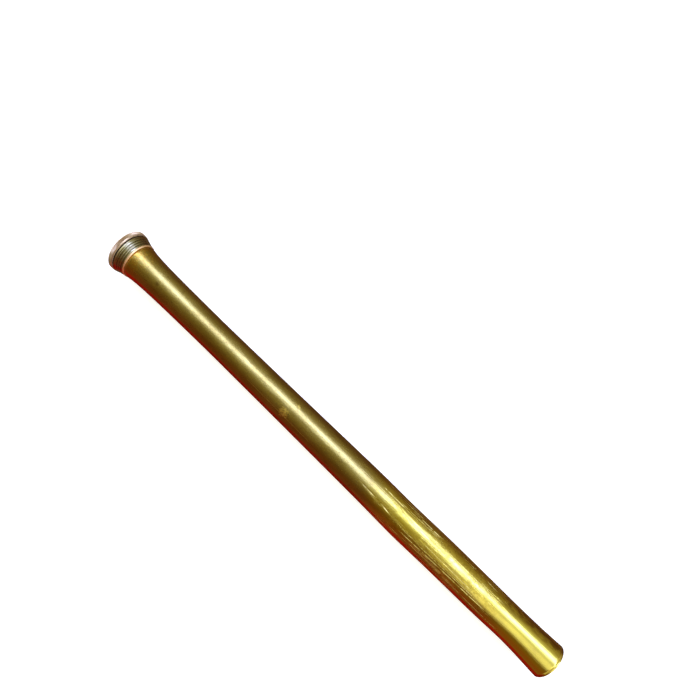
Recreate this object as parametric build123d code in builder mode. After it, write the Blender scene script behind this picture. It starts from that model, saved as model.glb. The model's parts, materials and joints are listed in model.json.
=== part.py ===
"""Telescopic travel didgeridoo in brass, closed: a flared outer section holding three draw tubes.

Millimetres. The instrument lies along X with its mouthpiece at -X and its bell at +X, +Z is up,
and the origin is on the floor under the middle of its length.
"""

import os

from build123d import *

# ---- overall ----
LENGTH = 452.0
FRONT_X = -LENGTH / 2
BELL_X = LENGTH / 2
RIM_R = 17.8
AXIS_HEIGHT = RIM_R

# ---- outer section: outside radius at stations along X ----
WALL = 0.6
LIP_X = FRONT_X + 12.3
MOUTH_BEAD_WIDTH = 1.3
MOUTH_BEAD_R = 15.25
MOUTH_BEAD_BORE_R = 14.3
MOUTH_BEAD_EDGE_R = 0.4
BELL_BEAD_WIDTH = 1.4
BELL_BEAD_R = 15.5
BELL_BEAD_BORE_R = 14.4
BELL_BEAD_EDGE_R = 0.7
BELL_BEAD_INNER_EDGE_R = 0.3
WAIST_R = 12.4
OUTER_STATIONS = [
    (LIP_X + MOUTH_BEAD_WIDTH, 14.8),
    (-205.8, 13.8),
    (-198.0, 13.25),
    (-190.0, 12.95),
    (-175.0, 12.65),
    (-155.0, 12.47),
    (-130.0, WAIST_R),
    (-98.0, 12.65),
    (-52.0, 13.1),
    (-6.0, 13.7),
    (40.0, 14.25),
    (87.0, 14.55),
    (133.0, 14.5),
    (163.0, 14.35),
    (187.0, 14.05),
    (202.0, 14.35),
    (214.5, 14.95),
    (BELL_X - BELL_BEAD_WIDTH, BELL_BEAD_R),
]

# ---- stacked flanges in front of the mouth ----
FLANGE_PITCH = 1.62
FLANGE_THICK = 1.57
FLANGE_R = [15.35, 15.8, 16.2, 16.7]
FLANGE_EDGE_R = 0.5
SLIDE_FIT = 0.05

# ---- draws, outermost first ----
DRAW_R = [11.3, 10.3, 9.3]
DRAW_WALL = 0.5
DRAW_END_X = [186.0, 184.0, 182.0]
CUFF_LENGTH = 12.0
CUFF_CHAMFER = 0.2
SLEEVE_LENGTH = 13.5
SLEEVE_GAP = 0.5
CUFF_R = [11.7, 10.75, 9.75]

# ---- collars ----
COLLAR_END_X = [-190.0, -192.0, -194.0]
MOUTH_PLUG = [(LIP_X + 1.2, 13.8), (-204.0, 12.8), (-198.0, 12.35), (COLLAR_END_X[0], 12.05)]
MOUTH_PLUG_R = 14.25

# ---- felt wipers in the collars ----
WIPER_WIDTH = [2.0, 1.0, 1.0]
WIPER_DEPTH = 1.25
WIPER_INSET = [0.5, 0.3, 0.3]
WIPER_FIT = 0.03

# ---- mouthpiece ----
RIM_LENGTH = 4.3
RIM_FACE_THICK = 3.2
RIM_EDGE_R = 0.8
RIM_INNER_ROUND_R = 1.0
RIM_CORE_R = 17.5
SHOULDER_R = 17.7
SHOULDER_LENGTH = 1.1
SHOULDER_BEVEL = 0.25
REED_COUNT = 144
REED_DEPTH = 0.25
REED_START_X = FRONT_X + 0.75
REED_END_X = FRONT_X + RIM_LENGTH - SHOULDER_LENGTH - 0.1
GASKET_THICK = 1.1
GASKET_R = 17.0
BOSS_R = 16.0
NECK_R = 17.25
NECK_START_R = 16.8
LIP_OPENING_R = 13.4
SPIGOT_BORE_R = 8.3
SPIGOT_LENGTH = 19.0
THROAT = [(0.0, LIP_OPENING_R), (0.6, 12.7), (1.9, 10.9), (3.1, 9.3), (4.25, 8.45), (5.9, SPIGOT_BORE_R)]

os.makedirs("parts", exist_ok=True)

SIDE = Plane(origin=(0, 0, AXIS_HEIGHT), x_dir=(1, 0, 0), z_dir=(0, -1, 0))
TUBE_AXIS = Axis((0, 0, AXIS_HEIGHT), (1, 0, 0))


def ring(outline):
    """A closed outline of (x, radius) corners, turned about the tube's axis."""
    with BuildPart() as turned:
        with BuildSketch(SIDE):
            with BuildLine():
                Polyline(*outline, close=True)
            make_face()
        revolve(axis=TUBE_AXIS)
    return turned


def save(built, name):
    """Label the piece and write its file."""
    built.part.label = name
    export_step(built.part, f"parts/{name}.step")


def flange_front(level):
    """X of the front face of the stacked flange at this level, 0 being the outer section's own."""
    return LIP_X - FLANGE_THICK - level * FLANGE_PITCH


def tube_outline(start_x, end_x, bore_r, outer_r):
    """The four corners of a plain ring or tube."""
    return [(start_x, bore_r), (start_x, outer_r), (end_x, outer_r), (end_x, bore_r)]


def outer_edges(built):
    """The two circles of a ring's outer wall."""
    return built.edges().filter_by(GeomType.CIRCLE).sort_by(SortBy.RADIUS)[-2:]


def rounded_flange(front_x, outer_r, bore_r):
    """A disc with a rounded edge, which shows as one ridge of the stack."""
    with BuildPart() as disc:
        with BuildSketch(SIDE):
            with BuildLine():
                Polyline(*tube_outline(front_x, front_x + FLANGE_THICK, bore_r, outer_r), close=True)
            make_face()
        revolve(axis=TUBE_AXIS)
        fillet(outer_edges(disc), radius=FLANGE_EDGE_R)
    return disc


# ======================= outer section =======================
with BuildPart() as outer_tube:
    with BuildSketch(SIDE):
        with BuildLine():
            outside = Spline(*OUTER_STATIONS)
            inside = Spline(*[(x, r - WALL) for x, r in OUTER_STATIONS])
            Line(outside @ 0, inside @ 0)
            Line(outside @ 1, inside @ 1)
        make_face()
    revolve(axis=TUBE_AXIS)
save(outer_tube, "outer_tube")

with BuildPart() as mouth_bead:
    with BuildSketch(SIDE):
        with BuildLine():
            Polyline(
                *tube_outline(LIP_X, LIP_X + MOUTH_BEAD_WIDTH, MOUTH_BEAD_BORE_R, MOUTH_BEAD_R), close=True
            )
        make_face()
    revolve(axis=TUBE_AXIS)
    fillet(outer_edges(mouth_bead), radius=MOUTH_BEAD_EDGE_R)
save(mouth_bead, "mouth_bead")

with BuildPart() as bell_bead:
    with BuildSketch(SIDE):
        with BuildLine():
            Polyline(
                *tube_outline(BELL_X - BELL_BEAD_WIDTH, BELL_X, BELL_BEAD_BORE_R, BELL_BEAD_R), close=True
            )
        make_face()
    revolve(axis=TUBE_AXIS)
    bell_edges = bell_bead.edges().filter_by(GeomType.CIRCLE).group_by(Axis.X)[-1].sort_by(SortBy.RADIUS)
    fillet(bell_edges[-1], radius=BELL_BEAD_EDGE_R)
    fillet(bell_edges[0], radius=BELL_BEAD_INNER_EDGE_R)
save(bell_bead, "bell_bead")

# ======================= collars and their felt wipers =======================
for level in range(3):
    front_x = flange_front(level)
    back_x = front_x + FLANGE_THICK
    end_x = COLLAR_END_X[level]
    bore_r = DRAW_R[level] + SLIDE_FIT
    recess_front = front_x + WIPER_INSET[level]
    recess_back = recess_front + WIPER_WIDTH[level]
    recess_r = bore_r + WIPER_DEPTH
    if level == 0:
        outline = [(back_x, bore_r), (back_x, MOUTH_PLUG_R), *MOUTH_PLUG, (end_x, bore_r)]
    else:
        outline = tube_outline(back_x, end_x, bore_r, DRAW_R[level - 1] - DRAW_WALL)
    flange = rounded_flange(front_x, FLANGE_R[level], bore_r)

    with BuildPart() as collar:
        add(flange.part)
        with BuildSketch(SIDE):
            with BuildLine():
                Polyline(*outline, close=True)
            make_face()
        revolve(axis=TUBE_AXIS)
        with BuildSketch(SIDE):
            with BuildLine():
                Polyline(*tube_outline(recess_front, recess_back, bore_r - 1.0, recess_r), close=True)
            make_face()
        revolve(axis=TUBE_AXIS, mode=Mode.SUBTRACT)
    save(collar, f"collar_{level + 1}")

    wiper = ring(tube_outline(recess_front, recess_back, DRAW_R[level] + WIPER_FIT, recess_r))
    save(wiper, f"felt_wiper_{level + 1}")

# ======================= draw tubes, stop cuffs and felt sleeves =======================
for level in range(3):
    start_x = flange_front(level + 1) + FLANGE_THICK
    end_x = DRAW_END_X[level]
    tube_r = DRAW_R[level]
    sleeve_start = end_x - SLEEVE_LENGTH
    cuff_end = sleeve_start - SLEEVE_GAP
    cuff_start = cuff_end - CUFF_LENGTH

    draw_tube = ring(tube_outline(start_x, end_x, tube_r - DRAW_WALL, tube_r))
    save(draw_tube, f"draw_tube_{level + 1}")

    with BuildPart() as stop_cuff:
        with BuildSketch(SIDE):
            with BuildLine():
                Polyline(*tube_outline(cuff_start, cuff_end, tube_r, CUFF_R[level]), close=True)
            make_face()
        revolve(axis=TUBE_AXIS)
        chamfer(outer_edges(stop_cuff), length=CUFF_CHAMFER)
    save(stop_cuff, f"stop_cuff_{level + 1}")

    felt_sleeve = ring(tube_outline(sleeve_start, end_x, tube_r, CUFF_R[level]))
    save(felt_sleeve, f"felt_sleeve_{level + 1}")

# ======================= mouthpiece =======================
ridge_front = flange_front(3)
ridge_back = ridge_front + FLANGE_THICK
rim_back = FRONT_X + RIM_LENGTH
neck_front = rim_back + GASKET_THICK
boss_front = FRONT_X + RIM_FACE_THICK
ridge = rounded_flange(ridge_front, FLANGE_R[3], SPIGOT_BORE_R)

with BuildPart() as mouthpiece_body:
    add(ridge.part)
    with BuildSketch(SIDE):
        with BuildLine():
            Polyline(
                (ridge_front + FLANGE_EDGE_R, SPIGOT_BORE_R),
                (ridge_front + FLANGE_EDGE_R, FLANGE_R[3] - FLANGE_EDGE_R),
                (ridge_front, NECK_START_R),
                (neck_front, NECK_R),
                (neck_front, BOSS_R),
                (boss_front, BOSS_R),
                (boss_front, SPIGOT_BORE_R),
                close=True,
            )
        make_face()
    revolve(axis=TUBE_AXIS)
    with BuildSketch(SIDE):
        with BuildLine():
            Polyline(
                *tube_outline(ridge_back, ridge_back + SPIGOT_LENGTH, SPIGOT_BORE_R, DRAW_R[2] - DRAW_WALL),
                close=True,
            )
        make_face()
    revolve(axis=TUBE_AXIS)
    with BuildSketch(SIDE):
        with BuildLine():
            throat = Spline(*[(boss_front + x, r) for x, r in THROAT])
            Polyline(
                throat @ 1,
                (boss_front + THROAT[-1][0], SPIGOT_BORE_R - 1.5),
                (boss_front + THROAT[0][0], SPIGOT_BORE_R - 1.5),
                throat @ 0,
            )
        make_face()
    revolve(axis=TUBE_AXIS, mode=Mode.SUBTRACT)
save(mouthpiece_body, "mouthpiece_body")

rim_gasket = ring(tube_outline(rim_back, neck_front, BOSS_R, GASKET_R))
save(rim_gasket, "rim_gasket")

reed_step = 360 / REED_COUNT
reed_tips = [Vector(RIM_R, 0).rotate(Axis.Z, tooth * reed_step) for tooth in range(REED_COUNT)]
reed_roots = [
    Vector(RIM_R - REED_DEPTH, 0).rotate(Axis.Z, (tooth + 0.5) * reed_step) for tooth in range(REED_COUNT)
]
reed_outline = [corner for pair in zip(reed_tips, reed_roots) for corner in pair]

with BuildPart() as mouthpiece_rim:
    with BuildSketch(SIDE):
        with BuildLine():
            back = Polyline(
                (rim_back, BOSS_R),
                (rim_back, SHOULDER_R - SHOULDER_BEVEL),
                (rim_back - SHOULDER_BEVEL, SHOULDER_R),
                (rim_back - SHOULDER_LENGTH, SHOULDER_R),
                (rim_back - SHOULDER_LENGTH, RIM_CORE_R),
                (FRONT_X + RIM_EDGE_R, RIM_CORE_R),
            )
            edge = RadiusArc(back @ 1, (FRONT_X, RIM_CORE_R - RIM_EDGE_R), -RIM_EDGE_R)
            face = Line(edge @ 1, (FRONT_X, LIP_OPENING_R + RIM_INNER_ROUND_R))
            inner_round = RadiusArc(
                face @ 1, (FRONT_X + RIM_INNER_ROUND_R, LIP_OPENING_R), -RIM_INNER_ROUND_R
            )
            Polyline(inner_round @ 1, (boss_front, LIP_OPENING_R), (boss_front, BOSS_R), back @ 0)
        make_face()
    revolve(axis=TUBE_AXIS)
    with BuildSketch(Plane(origin=(REED_START_X, 0, AXIS_HEIGHT), x_dir=(0, 1, 0), z_dir=(1, 0, 0))):
        with BuildLine():
            Polyline(*reed_outline, close=True)
        make_face()
        Circle(BOSS_R + 0.5, mode=Mode.SUBTRACT)
    extrude(amount=REED_END_X - REED_START_X)
save(mouthpiece_rim, "mouthpiece_rim")
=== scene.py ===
"""Looks for the telescopic brass didgeridoo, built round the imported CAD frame."""

import json
import math

import bpy
import numpy as np
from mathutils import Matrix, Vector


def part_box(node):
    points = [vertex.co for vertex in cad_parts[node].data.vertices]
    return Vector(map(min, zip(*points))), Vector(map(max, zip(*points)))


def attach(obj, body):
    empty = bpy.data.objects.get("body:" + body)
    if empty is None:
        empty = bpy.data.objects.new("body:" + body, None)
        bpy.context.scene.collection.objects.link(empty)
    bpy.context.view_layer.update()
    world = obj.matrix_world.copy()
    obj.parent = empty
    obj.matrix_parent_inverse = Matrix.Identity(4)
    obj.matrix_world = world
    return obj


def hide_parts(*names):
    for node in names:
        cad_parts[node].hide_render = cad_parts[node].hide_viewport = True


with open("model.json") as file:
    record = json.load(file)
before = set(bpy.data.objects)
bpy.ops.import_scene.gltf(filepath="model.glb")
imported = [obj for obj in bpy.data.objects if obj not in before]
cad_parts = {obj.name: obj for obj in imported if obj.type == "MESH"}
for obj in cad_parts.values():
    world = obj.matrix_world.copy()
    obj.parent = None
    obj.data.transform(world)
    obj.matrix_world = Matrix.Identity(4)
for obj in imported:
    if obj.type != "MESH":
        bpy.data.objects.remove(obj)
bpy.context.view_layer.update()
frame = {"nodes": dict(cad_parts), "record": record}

MM = 0.001
MM_PER_METRE = 1000.0
rim_lo, rim_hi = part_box("mouthpiece_rim")
_, bell_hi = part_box("bell_bead")
AXIS_Z = (rim_lo.z + rim_hi.z) / 2
FRONT_X = rim_lo.x
BELL_X = bell_hi.x
LENGTH = BELL_X - FRONT_X
TUBE_SEGMENTS = 160
TUBE_STATIONS = 190
PROFILE_SMOOTHING = 4


# ---------------------------------------------------------------- node helpers
class Graph:
    """A short way to write a material's nodes."""

    def __init__(self, name):
        self.material = bpy.data.materials.new(name)
        self.material.use_nodes = True
        self.tree = self.material.node_tree
        self.tree.nodes.clear()
        output = self.tree.nodes.new("ShaderNodeOutputMaterial")
        self.shader = self.tree.nodes.new("ShaderNodeBsdfPrincipled")
        self.tree.links.new(self.shader.outputs[0], output.inputs[0])
        coords = self.tree.nodes.new("ShaderNodeTexCoord")
        self.place = coords.outputs["Object"]
        split = self.tree.nodes.new("ShaderNodeSeparateXYZ")
        self.tree.links.new(self.place, split.inputs[0])
        self.x = self.math("MULTIPLY", split.outputs[0], MM_PER_METRE)
        self.y = self.math("MULTIPLY", split.outputs[1], MM_PER_METRE)
        self.z = self.math("MULTIPLY_ADD", split.outputs[2], MM_PER_METRE, -AXIS_Z * MM_PER_METRE)

    def _feed(self, socket, value):
        if isinstance(value, bpy.types.NodeSocket):
            self.tree.links.new(value, socket)
        else:
            socket.default_value = value

    def math(self, operation, *values):
        node = self.tree.nodes.new("ShaderNodeMath")
        node.operation = operation
        for socket, value in zip(node.inputs, values):
            self._feed(socket, value)
        return node.outputs[0]

    def radius(self):
        """Distance from the tube's axis in millimetres."""
        square = self.math("ADD", self.math("POWER", self.y, 2.0), self.math("POWER", self.z, 2.0))
        return self.math("SQRT", square)

    def turn(self):
        """Angle round the tube's axis in degrees: 0 on top, positive towards +Y."""
        return self.math("MULTIPLY", self.math("ARCTAN2", self.y, self.z), 180.0 / math.pi)

    def noise(self, scale, detail=3.0, rough=0.5, shift=0.0, distortion=0.0):
        """Noise in millimetre space, with its own scale along X, Y and Z in features per millimetre."""
        mapping = self.tree.nodes.new("ShaderNodeMapping")
        mapping.inputs["Scale"].default_value = [MM_PER_METRE * s for s in scale]
        mapping.inputs["Location"].default_value = (shift, shift * 0.7, -shift)
        self.tree.links.new(self.place, mapping.inputs["Vector"])
        node = self.tree.nodes.new("ShaderNodeTexNoise")
        node.inputs["Scale"].default_value = 1.0
        node.inputs["Detail"].default_value = detail
        node.inputs["Roughness"].default_value = rough
        node.inputs["Distortion"].default_value = distortion
        self.tree.links.new(mapping.outputs[0], node.inputs["Vector"])
        return node.outputs["Fac"]

    def cells(self, scale, shift=0.0):
        """Distance to the nearest of scattered points, in the same space."""
        mapping = self.tree.nodes.new("ShaderNodeMapping")
        mapping.inputs["Scale"].default_value = [MM_PER_METRE * s for s in scale]
        mapping.inputs["Location"].default_value = (shift, -shift, shift)
        self.tree.links.new(self.place, mapping.inputs["Vector"])
        node = self.tree.nodes.new("ShaderNodeTexVoronoi")
        node.inputs["Scale"].default_value = 1.0
        self.tree.links.new(mapping.outputs[0], node.inputs["Vector"])
        return node.outputs["Distance"]

    def span(self, value, low, high, out_low=0.0, out_high=1.0, smooth=True):
        """Value mapped from low..high to out_low..out_high, and held there outside."""
        node = self.tree.nodes.new("ShaderNodeMapRange")
        node.interpolation_type = "SMOOTHSTEP" if smooth else "LINEAR"
        for socket, item in zip(node.inputs, (value, low, high, out_low, out_high)):
            self._feed(socket, item)
        return node.outputs[0]

    def blend(self, amount, first, second):
        """A colour between two, all the second one where amount is 1."""
        node = self.tree.nodes.new("ShaderNodeMix")
        node.data_type = "RGBA"
        colours = [s for s in node.inputs if s.type == "RGBA"]
        self._feed(node.inputs[0], amount)
        for socket, value in zip(colours, (first, second)):
            self._feed(socket, value if isinstance(value, bpy.types.NodeSocket) else (*value, 1.0))
        return [s for s in node.outputs if s.type == "RGBA"][0]

    def bump(self, height, strength, distance_mm, below=None):
        """A normal with relief of this height, on top of the relief below."""
        node = self.tree.nodes.new("ShaderNodeBump")
        node.inputs["Strength"].default_value = strength
        node.inputs["Distance"].default_value = distance_mm * MM
        self._feed(node.inputs["Height"], height)
        if below is not None:
            self.tree.links.new(below, node.inputs["Normal"])
        return node.outputs[0]

    def set(self, **values):
        """Shader inputs by name, with _ for a space."""
        for key, value in values.items():
            socket = self.shader.inputs[key.replace("_", " ")]
            if isinstance(value, tuple) and len(value) == 3:
                value = (*value, 1.0)
            self._feed(socket, value)


# ---------------------------------------------------------------- materials
# the outer tube's brass where it is polished, worn, dull, stained or tinted, with painted shade and painted
# light for the bell end's two sides
BRASS_BRIGHT = (0.75, 0.65, 0.15)
BRASS_DEEP = (0.62, 0.51, 0.08)
BRASS_END = (0.63, 0.55, 0.10)
BRASS_WORN = (0.42, 0.32, 0.04)
BRASS_FLECK = (0.56, 0.44, 0.08)
BRASS_PALE = (0.97, 0.86, 0.30)
BRASS_DULL = (0.43, 0.36, 0.115)
BRASS_SHADE = (0.34, 0.27, 0.075)
BRASS_BROWN = (0.17, 0.105, 0.028)
# tarnish colour that also stands as painted shade on the bell end's +Y side
BRASS_TARNISH_AND_SHADE = (0.30, 0.18, 0.04)
# a lighter, greener brass: painted light on the bell end's -Y side
BRASS_PAINTED_LIGHT = (0.80, 0.82, 0.11)
BRASS_ORANGE = (0.46, 0.27, 0.045)
DRY_GOLD = (0.86, 0.70, 0.16)

# lengthwise scratches: first and last x in mm, first and last angle in degrees, half width in mm, strength
SCRATCHES = (
    (47.0, 60.0, -10.0, -15.0, 0.60, 1.0),
    (24.0, 44.0, -6.0, -9.0, 0.40, 0.6),
    (70.0, 160.0, -31.0, -23.0, 0.50, 1.0),
    (80.0, 182.0, -39.0, -46.5, 0.50, 0.9),
    (88.0, 150.0, -21.0, -17.5, 0.35, 0.6),
    (68.0, 101.0, 47.0, 44.0, 0.60, 1.0),
    (40.0, 66.0, 33.0, 31.0, 0.40, 0.7),
    (144.0, 160.0, 51.5, 47.0, 0.50, 0.9),
    (20.0, 62.0, 24.0, 22.5, 0.25, 0.4),
    (-90.0, -20.0, -28.0, -33.0, 0.22, 0.3),
)

# length in mm over which a scratch fades at each end
SCRATCH_FADE = 6.0

# spots: x, y and height over the axis of the middle, plain reach, soft edge and raggedness, all in mm
RUBBED_SPOTS = (
    (-51.0, -4.5, 12.2, 1.6, 3.4, 13.0),
    (-46.0, 5.8, 11.6, 0.2, 2.4, 9.0),
)
STAIN_SPOTS = (
    (-185.0, -1.8, 12.3, 0.2, 2.4, 3.0),
    (-184.0, 7.0, 10.0, 0.1, 1.2, 2.0),
)

# where the polish starts and is full, and the same for the smooth bell end, as x in mm
POLISH = (22.0, 62.0)
BELL_END = (150.0, 190.0)

# where the heat tint by the mouth and its specks are full, and where they have gone, as x in mm
HEAT_TINT = (-211.0, -194.0)
HEAT_SPECKS = (-208.0, -190.0)

# radii in mm over which the rim's reeds begin, and over which their flanks rise to the crests
REEDS_BEGIN = (17.45, 17.52)
REED_FLANKS = (17.53, 17.76)


def outer_brass():
    """Hand-rubbed brass: dull and speckled in its first part, polished and scratched lengthwise after it."""
    g = Graph("outer_brass")
    turn = g.turn()
    wobble = g.noise((0.03, 0.10, 0.10), 4.0, 0.6, shift=3.0)
    patchy = g.noise((0.10, 0.26, 0.26), 4.0, 0.62, shift=9.0)
    along = g.math("ADD", g.x, g.math("MULTIPLY_ADD", wobble, 50.0, -25.0))
    along = g.math("ADD", along, g.math("MULTIPLY_ADD", patchy, 44.0, -22.0))
    polished = g.span(along, *POLISH)
    fine_end = g.span(along, *BELL_END)
    worked = g.math("MULTIPLY", polished, g.math("SUBTRACT", 1.0, fine_end))
    unpolished = g.math("SUBTRACT", 1.0, polished)

    # colour
    cloud = g.noise((0.035, 0.12, 0.12), 5.0, 0.62, shift=1.0)
    mottle = g.noise((0.35, 0.55, 0.55), 6.0, 0.7, shift=7.0)
    speck = g.noise((1.0, 1.2, 1.2), 3.0, 0.6, shift=11.0)
    dull = g.blend(g.span(cloud, 0.35, 0.68), BRASS_DULL, BRASS_SHADE)
    dull = g.blend(g.span(mottle, 0.50, 0.72, 0.0, 0.50), dull, BRASS_BROWN)
    dull = g.blend(g.span(speck, 0.54, 0.70, 0.0, 0.45), dull, BRASS_FLECK)
    bright = g.blend(g.span(cloud, 0.35, 0.65), BRASS_BRIGHT, BRASS_DEEP)
    bright = g.blend(g.span(patchy, 0.48, 0.66, 0.0, 0.60), bright, BRASS_WORN)
    spots = g.math("MULTIPLY", g.span(mottle, 0.50, 0.66), g.span(worked, 0.0, 1.0, 0.1, 0.7))
    bright = g.blend(spots, bright, BRASS_WORN)
    bright = g.blend(fine_end, bright, g.blend(g.span(cloud, 0.40, 0.70, 0.0, 0.55), BRASS_END, BRASS_DULL))

    # the bell end gets blotches of tarnish that are also painted shade on its +Y side, and painted light, a
    # lighter and greener brass, on its -Y side
    bell_painted_sides = g.math("MULTIPLY", fine_end, g.span(g.math("ABSOLUTE", turn), 110.0, 160.0, 1.0, 0.0))
    tarnish_and_shade_side = g.math("MULTIPLY", bell_painted_sides, g.span(turn, 26.0, 48.0))
    painted_light_side = g.math("MULTIPLY", bell_painted_sides, g.span(turn, -34.0, -14.0, 0.85, 0.0))
    tarnish_and_painted_shade = g.math("MULTIPLY", g.span(patchy, 0.42, 0.58, 0.0, 0.85), tarnish_and_shade_side)
    bright = g.blend(tarnish_and_painted_shade, bright, BRASS_TARNISH_AND_SHADE)
    # painted light: a lighter, greener brass on the bell end's -Y side
    bright = g.blend(painted_light_side, bright, BRASS_PAINTED_LIGHT)
    colour = g.blend(polished, dull, bright)

    # orange heat tint next to the mouth, broken up into speckles
    uneven = g.noise((0.25, 0.3, 0.3), 4.0, 0.65, shift=5.0)
    from_mouth = g.math("ADD", g.x, g.math("MULTIPLY_ADD", uneven, 20.0, -10.0))
    near = g.span(from_mouth, *HEAT_TINT, 1.0, 0.0)
    heat = g.math("MULTIPLY", near, g.span(mottle, 0.42, 0.56, 0.15, 1.0))
    colour = g.blend(heat, colour, BRASS_ORANGE)
    near = g.span(from_mouth, *HEAT_SPECKS, 1.0, 0.0)
    flash = g.math("MULTIPLY", near, g.span(speck, 0.50, 0.62, 0.0, 0.75))
    colour = g.blend(flash, colour, BRASS_FLECK)

    def spot(x, y, z, reach, edge, ragged):
        """A ragged round spot at a place on the surface."""
        dx = g.math("SUBTRACT", g.x, x)
        dy = g.math("SUBTRACT", g.y, y)
        dz = g.math("SUBTRACT", g.z, z)
        square = g.math("ADD", g.math("POWER", dx, 2.0), g.math("POWER", dy, 2.0))
        away = g.math("SQRT", g.math("ADD", square, g.math("POWER", dz, 2.0)))
        away = g.math("ADD", away, g.math("MULTIPLY_ADD", mottle, ragged, -ragged / 2))
        return g.span(away, reach, reach + edge, 1.0, 0.0)

    # rubbed gold patches and a dark stain on the first part
    patch = g.math("MAXIMUM", *(spot(*numbers) for numbers in RUBBED_SPOTS))
    rubbed = g.math("MULTIPLY", patch, g.span(speck, 0.42, 0.52, 0.25, 0.95))
    colour = g.blend(rubbed, colour, DRY_GOLD)
    stain = g.math("MAXIMUM", *(spot(*numbers) for numbers in STAIN_SPOTS))
    colour = g.blend(g.math("MULTIPLY", stain, 0.75), colour, BRASS_BROWN)

    # lengthwise hairlines all over the polished part, and the single long scratches
    streak = g.noise((0.014, 1.05, 1.05), 3.0, 0.6, shift=2.0)
    gate = g.span(g.noise((0.025, 0.16, 0.16), 3.0, 0.6, shift=4.0), 0.42, 0.56)
    lines = g.math("MULTIPLY", gate, worked)
    hairline = g.math("MULTIPLY", g.span(streak, 0.56, 0.66), lines)
    furrow = g.math("MULTIPLY", g.span(streak, 0.44, 0.34), lines)
    colour = g.blend(g.math("MULTIPLY", furrow, 0.6), colour, BRASS_BROWN)
    cut = g.math("MULTIPLY", hairline, 0.6)
    radius = g.radius()
    broken = g.span(g.noise((0.25, 0.6, 0.6), 3.0, 0.6, shift=15.0), 0.36, 0.50, 0.35, 1.0)
    for x_start, x_end, turn_start, turn_end, half_width, strength in SCRATCHES:
        line = g.span(g.x, x_start, x_end, turn_start, turn_end, smooth=False)
        aside = g.math("ABSOLUTE", g.math("MULTIPLY", g.math("SUBTRACT", turn, line), math.pi / 180.0))
        inside = g.span(g.math("MULTIPLY", aside, radius), 0.0, half_width, strength, 0.0)
        starts = g.span(g.x, x_start, x_start + SCRATCH_FADE)
        fade = g.math("MULTIPLY", starts, g.span(g.x, x_end - SCRATCH_FADE, x_end, 1.0, 0.0))
        cut = g.math("MAXIMUM", cut, g.math("MULTIPLY", g.math("MULTIPLY", inside, fade), broken))
    colour = g.blend(g.math("MULTIPLY", cut, 0.9), colour, BRASS_PALE)

    # gloss
    smear = g.noise((0.05, 0.22, 0.22), 4.0, 0.6, shift=13.0)
    rough = g.span(polished, 0.0, 1.0, 0.255, 0.155)
    rough = g.math("SUBTRACT", rough, g.math("MULTIPLY", fine_end, 0.04))
    rough = g.math("ADD", rough, g.math("MULTIPLY_ADD", smear, 0.10, -0.05))
    rough = g.math("ADD", rough, g.math("MULTIPLY_ADD", mottle, 0.12, -0.06))
    worn = g.math("MULTIPLY", g.span(patchy, 0.5, 0.66), g.math("MULTIPLY", worked, 0.16))
    rough = g.math("ADD", rough, worn)
    rough = g.math("ADD", rough, g.math("MULTIPLY", rubbed, 0.15))
    rough = g.math("ADD", rough, g.math("MULTIPLY", cut, 0.30))

    # relief: drawn lines, hairlines and scratches, dents, pits and the speckle of the dull part
    relief = g.bump(g.noise((0.006, 1.1, 1.1), 3.0, 0.5, shift=6.0), 0.35, 0.12)
    relief = g.bump(g.math("MULTIPLY", streak, lines), 0.5, 0.20, relief)
    relief = g.bump(g.math("MULTIPLY", cut, -1.0), 0.9, 0.22, relief)
    relief = g.bump(g.noise((0.05, 0.09, 0.09), 3.0, 0.5, shift=8.0), 0.30, 0.50, relief)
    relief = g.bump(g.math("MULTIPLY", speck, unpolished), 0.50, 0.10, relief)
    relief = g.bump(g.math("MULTIPLY", mottle, g.span(polished, 0.0, 1.0, 1.0, 0.45)), 0.40, 0.20, relief)
    pits = g.span(g.cells((0.45, 0.45, 0.45), shift=5.0), 0.0, 0.14, -1.0, 0.0)
    relief = g.bump(g.math("MULTIPLY", pits, g.math("SUBTRACT", 1.0, fine_end)), 0.35, 0.06, relief)
    g.set(Base_Color=colour, Metallic=1.0, Roughness=rough, Normal=relief)
    return g.material


def draw_brass():
    """Drawn brass tube: smooth, with fine lengthwise lines and faint rubbed bands."""
    g = Graph("draw_brass")
    cloud = g.noise((0.03, 0.14, 0.14), 4.0, 0.6, shift=21.0)
    line = g.noise((0.01, 3.5, 3.5), 3.0, 0.6, shift=22.0)
    rub = g.noise((0.12, 0.02, 0.02), 3.0, 0.5, shift=23.0)
    colour = g.blend(g.span(cloud, 0.3, 0.7), BRASS_BRIGHT, BRASS_DEEP)
    colour = g.blend(g.span(line, 0.55, 0.75, 0.0, 0.35), colour, BRASS_DULL)
    rough = g.math("ADD", g.span(rub, 0.35, 0.65, 0.15, 0.24), g.math("MULTIPLY_ADD", line, 0.12, -0.06))
    relief = g.bump(line, 0.30, 0.03)
    relief = g.bump(g.noise((2.5, 0.4, 0.4), 2.0, 0.5, shift=24.0), 0.10, 0.02, relief)
    g.set(Base_Color=colour, Metallic=1.0, Roughness=rough, Normal=relief)
    return g.material


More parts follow.
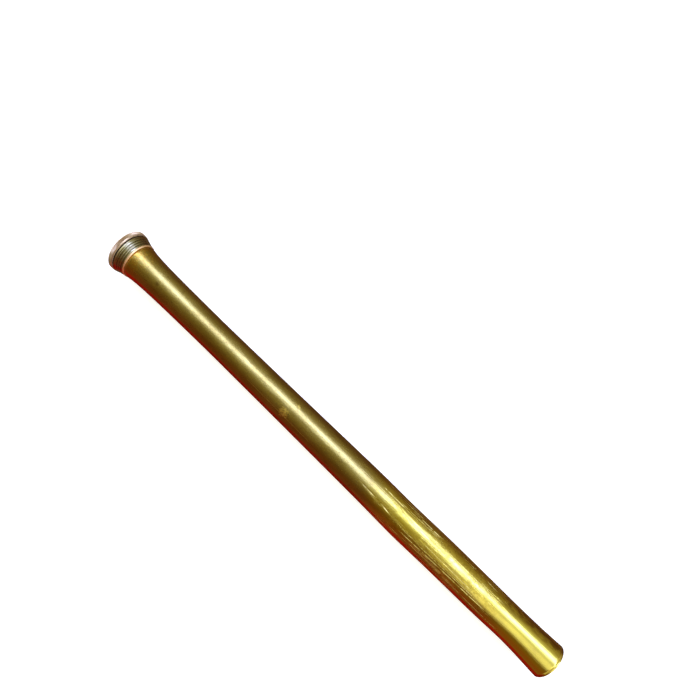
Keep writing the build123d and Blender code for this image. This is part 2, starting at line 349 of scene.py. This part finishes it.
def nickel_silver():
    """Turned nickel silver: tool lines round the axis, yellowing in the grooves, bright crests."""
    g = Graph("nickel_silver")
    tool = g.noise((7.0, 0.03, 0.03), 3.0, 0.6, shift=31.0)
    cloud = g.noise((0.3, 0.25, 0.25), 4.0, 0.6, shift=32.0)
    grime = g.noise((0.9, 0.8, 0.8), 5.0, 0.7, shift=33.0)
    colour = g.blend(g.span(cloud, 0.35, 0.7), (0.37, 0.35, 0.21), (0.26, 0.23, 0.12))
    colour = g.blend(g.span(grime, 0.52, 0.78, 0.0, 0.6), colour, (0.12, 0.085, 0.045))
    colour = g.blend(g.span(tool, 0.5, 0.8, 0.0, 0.5), colour, (0.60, 0.58, 0.42))
    rough = g.math("ADD", g.span(cloud, 0.3, 0.7, 0.20, 0.32), g.math("MULTIPLY_ADD", grime, 0.14, -0.07))
    relief = g.bump(tool, 0.30, 0.04)
    relief = g.bump(grime, 0.15, 0.03, relief)
    g.set(Base_Color=colour, Metallic=1.0, Roughness=rough, Normal=relief)
    return g.material


def copper_trim():
    """Bright copper-coloured bead, browner where it is less rubbed."""
    g = Graph("copper_trim")
    cloud = g.noise((0.4, 0.3, 0.3), 4.0, 0.6, shift=41.0)
    tool = g.noise((9.0, 0.05, 0.05), 2.0, 0.5, shift=42.0)
    colour = g.blend(g.span(cloud, 0.35, 0.7), (1.0, 0.74, 0.38), (0.88, 0.57, 0.27))
    rough = g.math("ADD", g.span(cloud, 0.3, 0.7, 0.48, 0.60), g.math("MULTIPLY_ADD", tool, 0.1, -0.05))
    relief = g.bump(tool, 0.2, 0.02)
    g.set(Base_Color=colour, Metallic=1.0, Roughness=rough, Normal=relief)
    return g.material


def reeded_rim():
    """Satin rim: pale crests on the reeds, darker at their roots, a smooth rubbed lip."""
    g = Graph("reeded_rim")
    radius = g.radius()
    crest = g.span(radius, *REED_FLANKS)
    on_reeds = g.span(radius, *REEDS_BEGIN)
    cloud = g.noise((0.35, 0.3, 0.3), 4.0, 0.6, shift=51.0)
    grain = g.noise((2.5, 2.5, 2.5), 4.0, 0.6, shift=52.0)
    pale = g.blend(g.span(cloud, 0.35, 0.7), (0.76, 0.62, 0.37), (0.60, 0.45, 0.25))
    groove = g.blend(g.span(grain, 0.4, 0.7), (0.22, 0.14, 0.08), (0.38, 0.26, 0.15))
    reeds = g.blend(crest, groove, pale)
    colour = g.blend(on_reeds, pale, reeds)
    rough = g.math("ADD", g.span(crest, 0.0, 1.0, 0.55, 0.38), g.math("MULTIPLY_ADD", grain, 0.16, -0.08))
    relief = g.bump(grain, 0.25, 0.04)
    g.set(Base_Color=colour, Metallic=0.85, Roughness=rough, Normal=relief)
    return g.material


def felt():
    """Pressed felt: matted fibres, slightly paler fuzz."""
    g = Graph("felt")
    fibre = g.noise((3.0, 3.0, 3.0), 6.0, 0.75, shift=61.0, distortion=1.5)
    clump = g.noise((0.6, 0.6, 0.6), 4.0, 0.6, shift=62.0)
    colour = g.blend(g.span(fibre, 0.35, 0.7), (0.018, 0.016, 0.014), (0.075, 0.068, 0.060))
    colour = g.blend(g.span(clump, 0.45, 0.75, 0.0, 0.4), colour, (0.05, 0.035, 0.025))
    relief = g.bump(fibre, 0.7, 0.15)
    g.set(Base_Color=colour, Roughness=g.span(fibre, 0.3, 0.7, 0.85, 0.98), Normal=relief, Sheen_Weight=0.35)
    return g.material


def black_rubber():
    """Matt rubber with a fine moulded grain and a little dust."""
    g = Graph("black_rubber")
    grain = g.noise((5.0, 5.0, 5.0), 4.0, 0.6, shift=71.0)
    dust = g.noise((0.8, 0.8, 0.8), 5.0, 0.7, shift=72.0)
    colour = g.blend(g.span(dust, 0.5, 0.8, 0.0, 0.5), (0.020, 0.012, 0.004), (0.045, 0.030, 0.012))
    relief = g.bump(grain, 0.3, 0.05)
    rough = g.span(grain, 0.3, 0.7, 0.75, 0.9)
    g.set(Base_Color=colour, Roughness=rough, Normal=relief, Specular_IOR_Level=0.03)
    return g.material


MAKERS = {
    "outer_brass": outer_brass,
    "draw_brass": draw_brass,
    "nickel_silver": nickel_silver,
    "copper_trim": copper_trim,
    "reeded_rim": reeded_rim,
    "felt": felt,
    "black_rubber": black_rubber,
}
materials = {slot: maker() for slot, maker in MAKERS.items()}
slot_of = {part["node"]: part["material_slot"] for part in frame["record"]["subparts"]}

for node, piece in frame["nodes"].items():
    piece.data.materials.clear()
    piece.data.materials.append(materials[slot_of[node]])


# ---------------------------------------------------------------- the outer tube as a smooth, bent shell
# where the tube is knocked sideways: x in mm, reach along the tube in mm, and how far towards +Y in mm
KNOCKS = (
    (190.0, 20.0, 0.32),
    (72.0, 24.0, -0.55),
)


def wall_profile(piece, side):
    """Sorted x and radius of a turned piece's outer (side 1) or inner (side -1) wall, in metres."""
    found = []
    for face in piece.data.polygons:
        normal, centre = face.normal, face.center
        across = math.hypot(centre.y, centre.z - AXIS_Z)
        outward = (normal.y * centre.y + normal.z * (centre.z - AXIS_Z)) / across
        if outward * side > 0.5:
            for index in face.vertices:
                x, y, z = piece.data.vertices[index].co
                found.append((x, math.hypot(y, z - AXIS_Z)))
    found = np.array(sorted(set(found)))
    stations = np.linspace(found[0, 0], found[-1, 0], TUBE_STATIONS)
    radii = np.interp(stations, found[:, 0], found[:, 1])
    for _ in range(PROFILE_SMOOTHING):
        radii[1:-1] = (radii[:-2] + 2 * radii[1:-1] + radii[2:]) / 4
    return stations, radii


def bend(x):
    """How far the tube's middle has been knocked towards +Y at x, in metres."""
    return MM * sum(far * math.exp(-(((x / MM - place) / spread) ** 2)) for place, spread, far in KNOCKS)


def tube_shell(source):
    """The outer tube again as an even grid, bent a little where it was knocked."""
    outer_x, outer_r = wall_profile(source, 1)
    inner_x, inner_r = wall_profile(source, -1)
    loops = list(zip(outer_x, outer_r)) + list(zip(inner_x, inner_r))[::-1]
    points, faces = [], []
    for x, radius in loops:
        for step in range(TUBE_SEGMENTS):
            angle = 2 * math.pi * step / TUBE_SEGMENTS
            points.append((x, radius * math.sin(angle) + bend(x), AXIS_Z + radius * math.cos(angle)))
    for row in range(len(loops)):
        first, second = row * TUBE_SEGMENTS, (row + 1) % len(loops) * TUBE_SEGMENTS
        for step in range(TUBE_SEGMENTS):
            after = (step + 1) % TUBE_SEGMENTS
            faces.append((first + step, second + step, second + after, first + after))
    mesh = bpy.data.meshes.new("outer_tube_shell")
    mesh.from_pydata(points, [], faces)
    mesh.materials.append(materials["outer_brass"])
    end_rows = {TUBE_STATIONS - 1, 2 * TUBE_STATIONS - 1}
    for index, face in enumerate(mesh.polygons):
        face.use_smooth = index // TUBE_SEGMENTS not in end_rows
    mesh.validate()
    shell = bpy.data.objects.new("outer_tube_shell", mesh)
    bpy.context.scene.collection.objects.link(shell)
    return shell


shell = tube_shell(frame["nodes"]["outer_tube"])
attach(shell, "outer_section")
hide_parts("outer_tube")


# ---------------------------------------------------------------- stage, lights and camera
FLOOR_HALF = 4.0
FLOOR_COLOUR = (0.60, 0.60, 0.59, 1.0)
BACKDROP_COLOUR = (1.0, 1.0, 0.99, 1.0)
FLOOR_GLOW = 0.78


def pale_floor():
    """A plain pale floor that reflections don't show."""
    material = bpy.data.materials.new("floor_pale")
    material.use_nodes = True
    shader = material.node_tree.nodes["Principled BSDF"]
    shader.inputs["Base Color"].default_value = FLOOR_COLOUR
    shader.inputs["Roughness"].default_value = 0.8
    shader.inputs["Specular IOR Level"].default_value = 0.1
    shader.inputs["Emission Color"].default_value = BACKDROP_COLOUR
    shader.inputs["Emission Strength"].default_value = FLOOR_GLOW
    mesh = bpy.data.meshes.new("floor")
    corners = [(x * FLOOR_HALF, y * FLOOR_HALF, 0) for x, y in ((-1, -1), (1, -1), (1, 1), (-1, 1))]
    mesh.from_pydata(corners, [], [(0, 1, 2, 3)])
    mesh.materials.append(material)
    plane = bpy.data.objects.new("floor", mesh)
    bpy.context.scene.collection.objects.link(plane)
    plane.visible_glossy = False
    plane.visible_shadow = False


pale_floor()

# A dark red card beside the tube, sloping down a little from its axis. It stands in for the red cloth that
# the photo's reflections show. Only reflections see it, and only its upper side glows, less next to the
# tube. The fade's two ends are places along Y.
CARD_GAP = 0.6 * MM
CARD_REACH = 58 * MM
CARD_OVERHANG = 60 * MM
CARD_DROP = 7.5 * MM
CARD_STEP = 6
CARD_MOUTH_COLOUR = (0.50, 0.006, 0.006)
CARD_BELL_COLOUR = (0.30, 0.010, 0.005)
CARD_FADE_NEAR = -13 * MM
CARD_FADE_FAR = -19 * MM
CARD_FADE_LOW = 0.35


def card_material():
    """Red light from the card's upper side, from one colour at the mouth to the other at the bell."""
    material = bpy.data.materials.new("card_red")
    material.use_nodes = True
    nodes, links = material.node_tree.nodes, material.node_tree.links
    nodes.clear()
    coords = nodes.new("ShaderNodeTexCoord")
    split = nodes.new("ShaderNodeSeparateXYZ")
    links.new(coords.outputs["Object"], split.inputs[0])
    along = nodes.new("ShaderNodeMapRange")
    links.new(split.outputs[0], along.inputs[0])
    along.inputs[1].default_value = FRONT_X
    along.inputs[2].default_value = BELL_X
    tint = nodes.new("ShaderNodeMix")
    tint.data_type = "RGBA"
    links.new(along.outputs[0], tint.inputs[0])
    ends = [socket for socket in tint.inputs if socket.type == "RGBA"]
    ends[0].default_value = (*CARD_MOUTH_COLOUR, 1.0)
    ends[1].default_value = (*CARD_BELL_COLOUR, 1.0)
    fade = nodes.new("ShaderNodeMapRange")
    links.new(split.outputs[1], fade.inputs[0])
    fade.inputs[1].default_value = CARD_FADE_NEAR
    fade.inputs[2].default_value = CARD_FADE_FAR
    fade.inputs[3].default_value = CARD_FADE_LOW
    glow = nodes.new("ShaderNodeEmission")
    links.new(fade.outputs[0], glow.inputs[1])
    links.new([socket for socket in tint.outputs if socket.type == "RGBA"][0], glow.inputs[0])
    sides = nodes.new("ShaderNodeMixShader")
    links.new(nodes.new("ShaderNodeNewGeometry").outputs["Backfacing"], sides.inputs[0])
    links.new(glow.outputs[0], sides.inputs[1])
    links.new(nodes.new("ShaderNodeBsdfTransparent").outputs[0], sides.inputs[2])
    output = nodes.new("ShaderNodeOutputMaterial")
    links.new(sides.outputs[0], output.inputs[0])
    return material


def red_card():
    """A sloping sheet whose inner edge follows the outline of the head and the tube."""
    tube_x, tube_r = wall_profile(frame["nodes"]["outer_tube"], 1)
    rim_r = (rim_hi.y - rim_lo.y) / 2
    edge = [(FRONT_X - CARD_OVERHANG, rim_r), (tube_x[0] - MM, rim_r)]
    edge += list(zip(tube_x[::CARD_STEP], tube_r[::CARD_STEP])) + [(BELL_X + CARD_OVERHANG, tube_r[-1])]
    points = [(x, bend(x) - radius - CARD_GAP, AXIS_Z) for x, radius in edge]
    points += [(x, -CARD_REACH, AXIS_Z - CARD_DROP) for x, _ in edge]
    count = len(edge)
    mesh = bpy.data.meshes.new("card_red")
    mesh.from_pydata(points, [], [(i + count, i + count + 1, i + 1, i) for i in range(count - 1)])
    mesh.materials.append(card_material())
    card = bpy.data.objects.new("card_red", mesh)
    bpy.context.scene.collection.objects.link(card)
    for kind in ("camera", "diffuse", "transmission", "volume_scatter", "shadow"):
        setattr(card, f"visible_{kind}", False)


red_card()

# Light all round, by its angle from straight up in degrees, positive towards +Y: one long soft box to the
# side of straight up, in a dim warm room that is reddest low on the -Y side. The colour ramp holds values
# of 1 or less, so it stores these over LIGHT_SCALE and the background's strength brings them back.
LIGHT_SCALE = 10.0
LIGHT_BY_ANGLE = (
    (-180, (0.24, 0.17, 0.10)),
    (-152, (0.22, 0.15, 0.09)),
    (-128, (0.20, 0.13, 0.07)),
    (-105, (0.22, 0.085, 0.034)),
    (-84, (0.25, 0.055, 0.014)),
    (-66, (0.21, 0.085, 0.014)),
    (-50, (0.22, 0.115, 0.022)),
    (-35, (0.28, 0.195, 0.045)),
    (-20, (0.35, 0.27, 0.065)),
    (-6, (0.48, 0.42, 0.16)),
    (6, (0.76, 0.75, 0.58)),
    (16, (2.0, 2.2, 2.9)),
    (25, (4.0, 4.4, 8.4)),
    (33, (3.9, 4.3, 8.2)),
    (41, (1.5, 1.6, 1.9)),
    (48, (0.80, 0.76, 0.62)),
    (57, (0.62, 0.55, 0.35)),
    (68, (0.46, 0.38, 0.17)),
    (86, (0.32, 0.23, 0.08)),
    (106, (0.20, 0.115, 0.04)),
    (130, (0.17, 0.055, 0.022)),
    (156, (0.19, 0.12, 0.07)),
    (180, (0.24, 0.17, 0.10)),
)
world = bpy.data.worlds.new("studio")
bpy.context.scene.world = world
world.use_nodes = True
tree = world.node_tree
tree.nodes.clear()


def world_feed(node, values):
    """Values or links for a world node's inputs; gives its first output."""
    for socket, value in zip(node.inputs, values):
        if isinstance(value, bpy.types.NodeSocket):
            tree.links.new(value, socket)
        else:
            socket.default_value = value
    return node.outputs[0]


def world_math(operation, *values):
    node = tree.nodes.new("ShaderNodeMath")
    node.operation = operation
    return world_feed(node, values)


def world_range(interpolation, *values):
    """A value mapped from one range to another: value, low, high, output at low, output at high."""
    node = tree.nodes.new("ShaderNodeMapRange")
    node.interpolation_type = interpolation
    return world_feed(node, values)


direction = tree.nodes.new("ShaderNodeTexCoord")
parts = tree.nodes.new("ShaderNodeSeparateXYZ")
tree.links.new(direction.outputs["Generated"], parts.inputs[0])
dir_x, dir_y, dir_z = parts.outputs
angle = world_math("ARCTAN2", dir_y, dir_z)
ramp = tree.nodes.new("ShaderNodeValToRGB")
ramp.color_ramp.interpolation = "B_SPLINE"
elements = ramp.color_ramp.elements
while len(elements) > 1:
    elements.remove(elements[-1])
for index, (degrees, colour) in enumerate(LIGHT_BY_ANGLE):
    place = (degrees + 180) / 360
    element = elements[0] if index == 0 else elements.new(place)
    element.position = place
    element.color = [channel / LIGHT_SCALE for channel in colour] + [1.0]
tree.links.new(world_math("MULTIPLY_ADD", angle, 0.5 / math.pi, 0.5), ramp.inputs[0])

# a second, smaller soft box over the bell end
END_BOX_ANGLE = math.radians(-18)
END_BOX_HALF = math.radians(36)
END_BOX_START = math.radians(12)
END_BOX_FULL = math.radians(22)
END_BOX_COLOUR = (1.15, 1.17, 1.30, 1.0)
tilt = world_math("ARCSINE", dir_x)
aside = world_math("ABSOLUTE", world_math("SUBTRACT", angle, END_BOX_ANGLE))
across = world_range("SMOOTHERSTEP", aside, 0.0, END_BOX_HALF, 1.0, 0.0)
along = world_range("SMOOTHSTEP", tilt, END_BOX_START, END_BOX_FULL, 0.0, 1.0)
end_box = tree.nodes.new("ShaderNodeBackground")
end_box.inputs[0].default_value = END_BOX_COLOUR
tree.links.new(world_math("MULTIPLY", across, along), end_box.inputs[1])

# soft boxes facing the two ends
END_FACE_START = 0.70
END_FACE_FULL = 0.95
END_FACE_COLOUR = (0.75, 0.68, 0.50, 1.0)
facing = world_range("SMOOTHSTEP", world_math("ABSOLUTE", dir_x), END_FACE_START, END_FACE_FULL, 0.0, 1.0)
end_faces = tree.nodes.new("ShaderNodeBackground")
end_faces.inputs[0].default_value = END_FACE_COLOUR
tree.links.new(facing, end_faces.inputs[1])

room = tree.nodes.new("ShaderNodeBackground")
tree.links.new(ramp.outputs[0], room.inputs[0])
room.inputs[1].default_value = LIGHT_SCALE
both = tree.nodes.new("ShaderNodeAddShader")
tree.links.new(room.outputs[0], both.inputs[0])
tree.links.new(end_box.outputs[0], both.inputs[1])
lights = tree.nodes.new("ShaderNodeAddShader")
tree.links.new(both.outputs[0], lights.inputs[0])
tree.links.new(end_faces.outputs[0], lights.inputs[1])

# the camera itself sees a plain pale backdrop
path = tree.nodes.new("ShaderNodeLightPath")
backdrop = tree.nodes.new("ShaderNodeBackground")
backdrop.inputs[0].default_value = BACKDROP_COLOUR
mix = tree.nodes.new("ShaderNodeMixShader")
world_output = tree.nodes.new("ShaderNodeOutputWorld")
tree.links.new(path.outputs["Is Camera Ray"], mix.inputs[0])
tree.links.new(lights.outputs[0], mix.inputs[1])
tree.links.new(backdrop.outputs[0], mix.inputs[2])
tree.links.new(mix.outputs[0], world_output.inputs[0])

# straight down on the middle of the tube, turned so that the bell points to the lower right; the lens is
# shifted to frame it. The camera's place is in shares of the instrument's length, from the mouthpiece's end.
CAMERA_ALONG = 0.4981
CAMERA_ASIDE = 0.0272
CAMERA_ABOVE_AXIS = 0.9171
CAMERA_TURN = math.radians(44.3)
CAMERA_SENSOR = 36.0
CAMERA_LENS = 27.77
CAMERA_SHIFT = (0.0033, 0.1330)
camera_data = bpy.data.cameras.new("camera")
camera_data.sensor_width = CAMERA_SENSOR
camera_data.lens = CAMERA_LENS
camera_data.shift_x, camera_data.shift_y = CAMERA_SHIFT
camera = bpy.data.objects.new("camera", camera_data)
camera.location = (
    FRONT_X + CAMERA_ALONG * LENGTH,
    CAMERA_ASIDE * LENGTH,
    AXIS_Z + CAMERA_ABOVE_AXIS * LENGTH,
)
camera.rotation_euler = (0, 0, CAMERA_TURN)
bpy.context.scene.collection.objects.link(camera)
bpy.context.scene.camera = camera
bpy.context.scene.view_settings.view_transform = "Standard"
